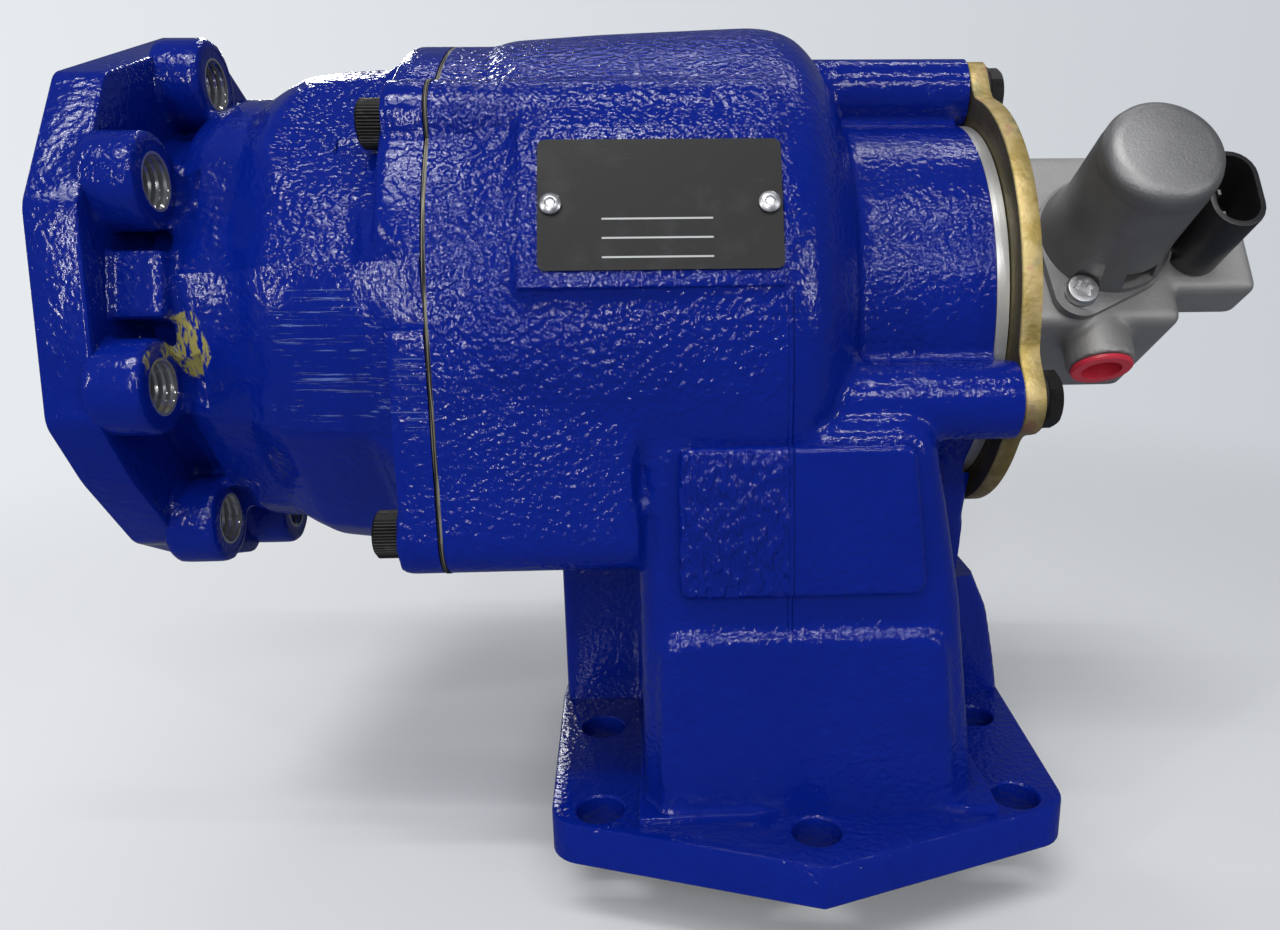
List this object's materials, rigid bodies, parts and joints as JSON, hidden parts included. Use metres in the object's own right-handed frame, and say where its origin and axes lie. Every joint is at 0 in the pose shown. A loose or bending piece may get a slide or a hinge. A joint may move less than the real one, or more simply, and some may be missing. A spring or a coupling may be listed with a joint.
{
  "type": "power take off unit",
  "caption": "Clutch shift power take off with a drum housing on a bolted transmission pad, a pump flange on a neck and a clamped electric shift valve.",
  "frame": {"origin": "centre of the transmission pad on its mounting face", "axes": "+X along the output shaft towards the electric valve, +Z out of the pad into the unit, -Y towards the nameplate side"},
  "size_m": [0.314, 0.1906, 0.2414],
  "materials": {
    "blue_paint": "deep glossy blue paint over rough iron castings",
    "black_oxide": "black oxide",
    "steel": "machined",
    "grey_gasket": "coated sheet steel, dull",
    "yellow_zinc": "yellow zinc plating, slightly iridescent",
    "cast_aluminium": "blasted die casting",
    "can_metal": "satin grey plating",
    "black_plastic": "moulded",
    "red_plastic": "moulded",
    "black_plate": "black anodised sheet",
    "rubber": "moulded",
    "bronze": "turned",
    "friction_paper": "bonded paper facing",
    "copper": "wound wire"
  },
  "bodies": {
    "housing": {"main_housing": "blue_paint", "pump_flange_housing": "blue_paint", "joint_gasket": "grey_gasket", "joint_screw_1": "black_oxide", "joint_screw_2": "black_oxide", "joint_screw_3": "black_oxide", "joint_screw_4": "black_oxide", "nameplate": "black_plate", "nameplate_screw_1": "steel", "nameplate_screw_2": "steel", "valve_block": "cast_aluminium", "cover_seal": "rubber", "clamp_plate": "yellow_zinc", "cover_bolt_1": "black_oxide", "cover_bolt_2": "black_oxide", "cover_bolt_3": "black_oxide", "solenoid_can": "can_metal", "solenoid_screw": "steel", "solenoid_coil": "copper", "spool_spring": "steel", "connector_shroud": "black_plastic", "connector_pin_1": "steel", "connector_pin_2": "steel", "port_plug": "red_plastic", "shaft_seal": "rubber", "bearing_snap_ring": "steel", "front_bearing_outer_race": "steel", "rear_bearing_outer_race": "steel", "oil_feed_tube": "steel", "idler_shaft": "steel", "thrust_washer_left": "bronze", "thrust_washer_right": "bronze"},
    "output_shaft_group": {"output_shaft": "steel", "front_bearing_inner_race": "steel", "front_bearing_balls_and_cage": "steel", "rear_bearing_inner_race": "steel", "rear_bearing_balls_and_cage": "steel", "thrust_spacer_rear": "steel", "thrust_spacer_front": "steel", "clutch_drum": "steel", "piston_return_spring": "steel", "spring_retainer": "steel", "steel_disc_1": "steel", "steel_disc_2": "steel", "steel_disc_3": "steel", "backing_plate": "steel", "drum_snap_ring": "steel"},
    "clutch_piston_group": {"clutch_piston": "steel", "piston_seal": "rubber"},
    "clutch_gear_group": {"clutch_gear": "steel", "gear_bushing": "bronze", "friction_disc_1": "friction_paper", "friction_disc_2": "friction_paper", "friction_disc_3": "friction_paper"},
    "input_gear_group": {"input_gear": "steel", "ratio_gear": "steel", "idler_needle_bearing": "steel"},
    "valve_spool_group": {"valve_spool": "steel", "solenoid_plunger": "steel"}
  },
  "joints": [
    {"name": "output_shaft_spin", "type": "hinge", "parent": "housing", "child": "output_shaft_group", "pos_m": [0, -0.0055, 0.14148], "axis": [1, 0, 0], "continuous": true},
    {"name": "clutch_gear_spin", "type": "hinge", "parent": "housing", "child": "clutch_gear_group", "pos_m": [0, -0.0055, 0.14148], "axis": [1, 0, 0], "continuous": true},
    {"name": "input_gear_spin", "type": "hinge", "parent": "housing", "child": "input_gear_group", "pos_m": [0, 0.01, 0.0346], "axis": [1, 0, 0], "continuous": true},
    {"name": "clutch_piston_slide", "type": "slide", "parent": "output_shaft_group", "child": "clutch_piston_group", "axis": [1, 0, 0], "range_m": [0, 0.0012], "stiffness_N_per_m": 4000, "springref_m": -0.002},
    {"name": "valve_spool_slide", "type": "slide", "parent": "housing", "child": "valve_spool_group", "axis": [0, 0.829, -0.5592], "range_m": [0, 0.0015], "stiffness_N_per_m": 800, "springref_m": -0.002}
  ],
  "couplings": [
    {"joint": "clutch_gear_spin", "follows": "input_gear_spin", "ratio": -0.8}
  ]
}
